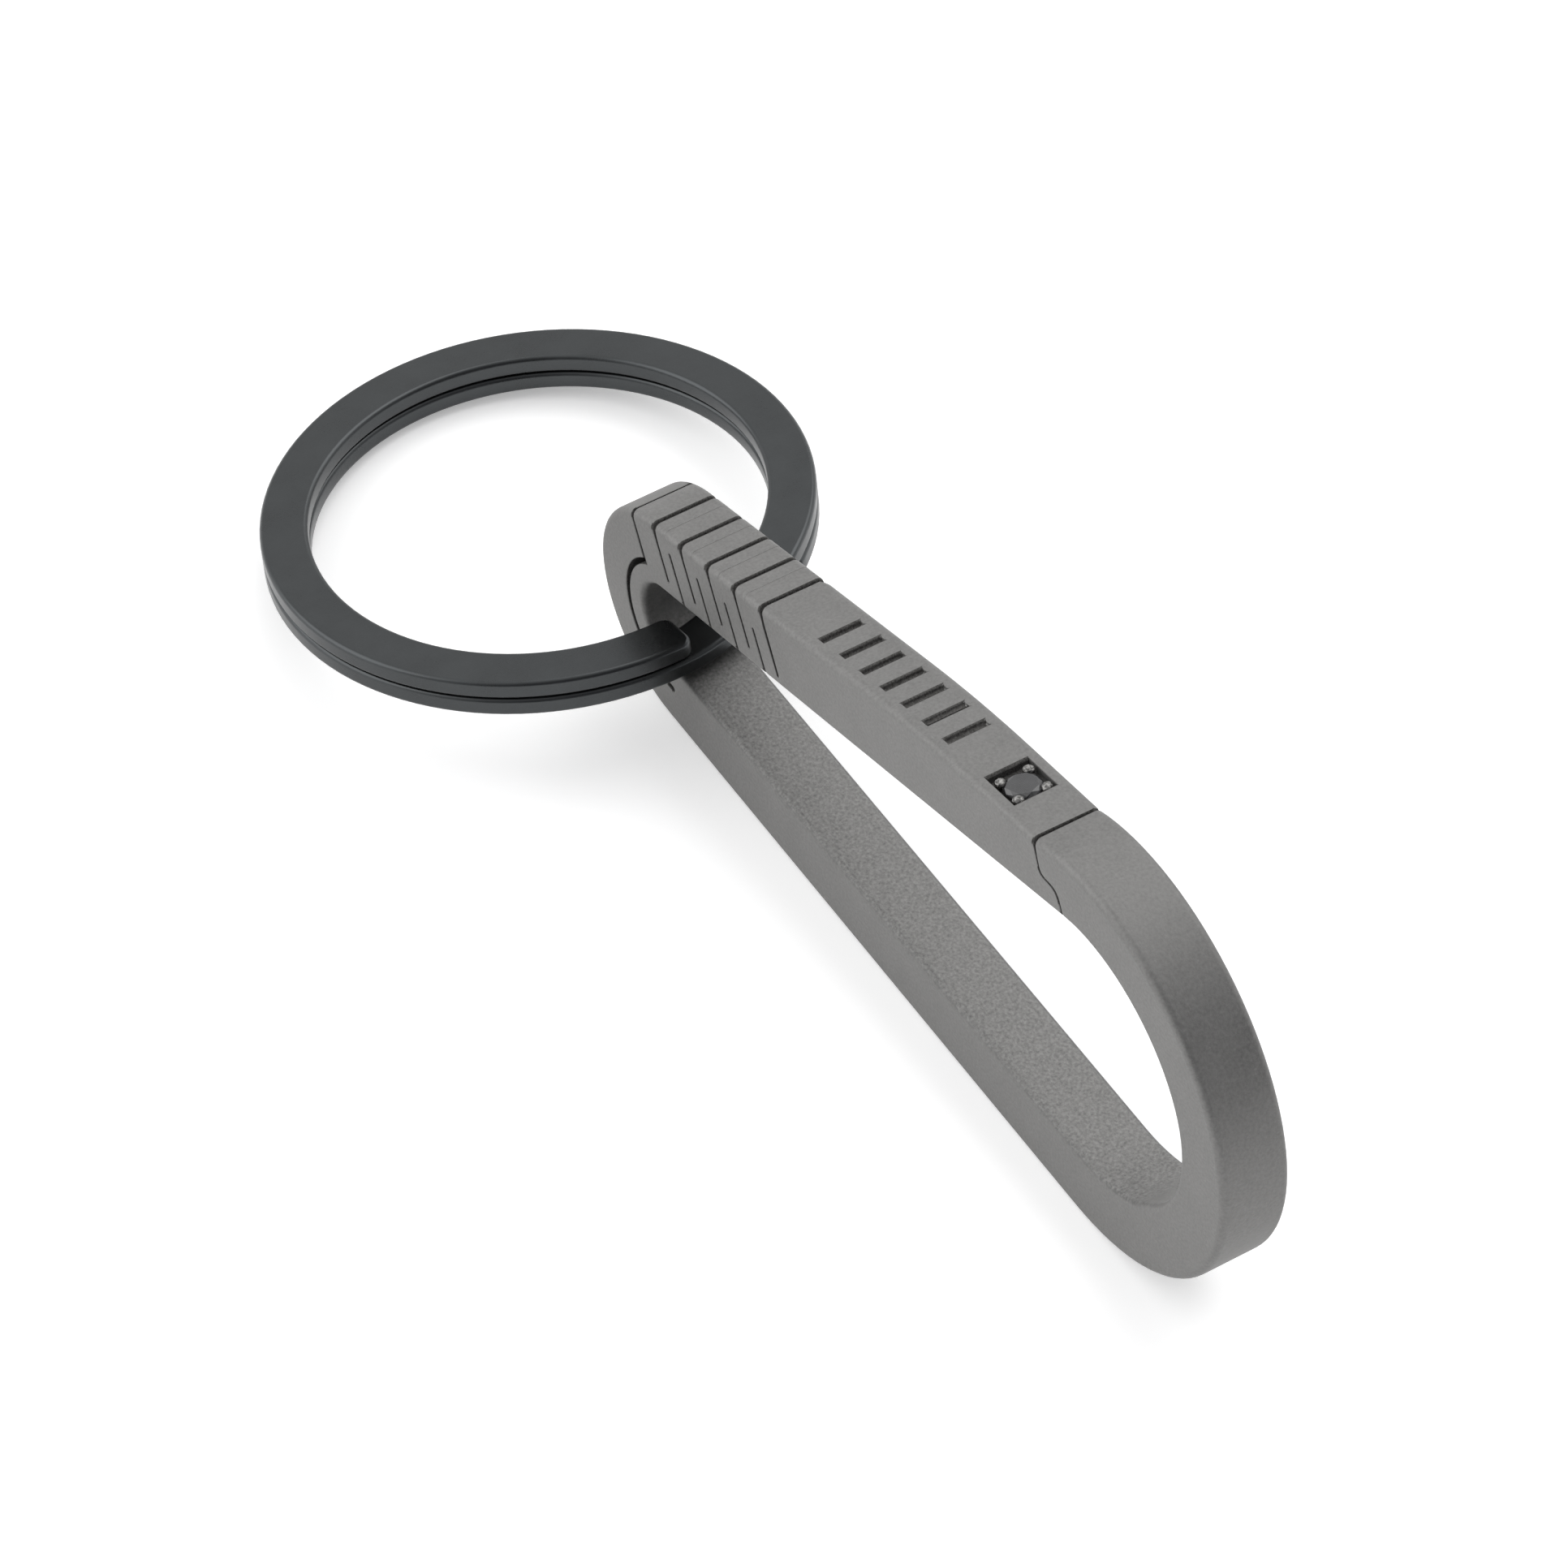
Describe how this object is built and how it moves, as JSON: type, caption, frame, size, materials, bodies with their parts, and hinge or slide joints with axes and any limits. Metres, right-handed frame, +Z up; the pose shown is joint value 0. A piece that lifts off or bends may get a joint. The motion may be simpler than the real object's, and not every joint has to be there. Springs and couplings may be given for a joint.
{
  "type": "key organiser carabiner",
  "caption": "Slim blasted-metal carabiner key holder with a leaf-cut sprung gate, a small set stone and a flat black split ring in its eye.",
  "frame": {"origin": "on the resting face, the spine's underside, right under the eye's centre, at mid width", "axes": "+X along the spine from the eye towards the bow, +Z up from the resting face, +Y across the width"},
  "size_m": [0.085, 0.032, 0.0266],
  "materials": {
    "titanium": "bead-blasted grey titanium, fine matt grain",
    "blackened_steel": "satin black coated spring steel",
    "black_stone": "opaque black faceted stone, polished"
  },
  "bodies": {
    "carabiner_frame": {"carabiner_frame": "titanium"},
    "eye_strip": {"eye_strip": "titanium"},
    "gate_root": {"gate_root": "titanium"},
    "spring_leaf_1": {"spring_leaf_1": "titanium"},
    "spring_leaf_2": {"spring_leaf_2": "titanium"},
    "spring_leaf_3": {"spring_leaf_3": "titanium"},
    "spring_leaf_4": {"spring_leaf_4": "titanium"},
    "spring_leaf_5": {"spring_leaf_5": "titanium"},
    "spring_leaf_6": {"spring_leaf_6": "titanium"},
    "spring_leaf_7": {"spring_leaf_7": "titanium"},
    "spring_leaf_8": {"spring_leaf_8": "titanium"},
    "gate": {"gate_arm": "titanium", "black_stone": "black_stone", "setting_beads": "titanium"},
    "ring": {"ring_lower_turn": "blackened_steel", "ring_crossover": "blackened_steel", "ring_upper_turn": "blackened_steel"},
    "ring_end": {"ring_lifting_end": "blackened_steel"}
  },
  "joints": [
    {"name": "strip_flex", "type": "hinge", "parent": "carabiner_frame", "child": "eye_strip", "pos_m": [0.00025, 0, 0.00379], "axis": [0, 1, 0], "range_deg": [0, 1.1], "stiffness_Nm_per_rad": 0.1, "springref_deg": -2.86},
    {"name": "root_flex", "type": "hinge", "parent": "eye_strip", "child": "gate_root", "pos_m": [-0.00183, 0, 0.01016], "axis": [0, 1, 0], "range_deg": [0, 1.1], "stiffness_Nm_per_rad": 0.1, "springref_deg": -2.86},
    {"name": "leaf_flex_1", "type": "hinge", "parent": "gate_root", "child": "spring_leaf_1", "pos_m": [0.00037, 0, 0.01084], "axis": [0, 1, 0], "range_deg": [0, 1.1], "stiffness_Nm_per_rad": 0.1, "springref_deg": -2.86},
    {"name": "leaf_flex_2", "type": "hinge", "parent": "spring_leaf_1", "child": "spring_leaf_2", "pos_m": [-0.00012, 0, 0.01437], "axis": [0, 1, 0], "range_deg": [0, 1.1], "stiffness_Nm_per_rad": 0.1, "springref_deg": -2.86},
    {"name": "leaf_flex_3", "type": "hinge", "parent": "spring_leaf_2", "child": "spring_leaf_3", "pos_m": [0.00319, 0, 0.01169], "axis": [0, 1, 0], "range_deg": [0, 1.1], "stiffness_Nm_per_rad": 0.1, "springref_deg": -2.86},
    {"name": "leaf_flex_4", "type": "hinge", "parent": "spring_leaf_3", "child": "spring_leaf_4", "pos_m": [0.00273, 0, 0.01517], "axis": [0, 1, 0], "range_deg": [0, 1.1], "stiffness_Nm_per_rad": 0.1, "springref_deg": -2.86},
    {"name": "leaf_flex_5", "type": "hinge", "parent": "spring_leaf_4", "child": "spring_leaf_5", "pos_m": [0.00602, 0, 0.01254], "axis": [0, 1, 0], "range_deg": [0, 1.1], "stiffness_Nm_per_rad": 0.1, "springref_deg": -2.86},
    {"name": "leaf_flex_6", "type": "hinge", "parent": "spring_leaf_5", "child": "spring_leaf_6", "pos_m": [0.00558, 0, 0.01598], "axis": [0, 1, 0], "range_deg": [0, 1.1], "stiffness_Nm_per_rad": 0.1, "springref_deg": -2.86},
    {"name": "leaf_flex_7", "type": "hinge", "parent": "spring_leaf_6", "child": "spring_leaf_7", "pos_m": [0.00884, 0, 0.01339], "axis": [0, 1, 0], "range_deg": [0, 1.1], "stiffness_Nm_per_rad": 0.1, "springref_deg": -2.86},
    {"name": "leaf_flex_8", "type": "hinge", "parent": "spring_leaf_7", "child": "spring_leaf_8", "pos_m": [0.00843, 0, 0.01678], "axis": [0, 1, 0], "range_deg": [0, 1.1], "stiffness_Nm_per_rad": 0.1, "springref_deg": -2.86},
    {"name": "gate_flex", "type": "hinge", "parent": "spring_leaf_8", "child": "gate", "pos_m": [0.01176, 0, 0.01407], "axis": [0, 1, 0], "range_deg": [0, 1.1], "stiffness_Nm_per_rad": 0.1, "springref_deg": -2.86},
    {"name": "ring_swing", "type": "hinge", "parent": "carabiner_frame", "child": "ring", "pos_m": [0.00125, 0, 0.00675], "axis": [0, 1, 0], "range_deg": [0, 140]},
    {"name": "ring_pry", "type": "hinge", "parent": "ring", "child": "ring_end", "pos_m": [-0.01343, -0.01678, 0.00507], "axis": [0.0516, -0.9986, 0.0085], "range_deg": [0, 6], "stiffness_Nm_per_rad": 0.02, "springref_deg": -11.46}
  ],
  "couplings": [
    {"joint": "strip_flex", "follows": "gate_flex", "ratio": 1},
    {"joint": "root_flex", "follows": "gate_flex", "ratio": 1},
    {"joint": "leaf_flex_1", "follows": "gate_flex", "ratio": 1},
    {"joint": "leaf_flex_2", "follows": "gate_flex", "ratio": 1},
    {"joint": "leaf_flex_3", "follows": "gate_flex", "ratio": 1},
    {"joint": "leaf_flex_4", "follows": "gate_flex", "ratio": 1},
    {"joint": "leaf_flex_5", "follows": "gate_flex", "ratio": 1},
    {"joint": "leaf_flex_6", "follows": "gate_flex", "ratio": 1},
    {"joint": "leaf_flex_7", "follows": "gate_flex", "ratio": 1},
    {"joint": "leaf_flex_8", "follows": "gate_flex", "ratio": 1}
  ]
}
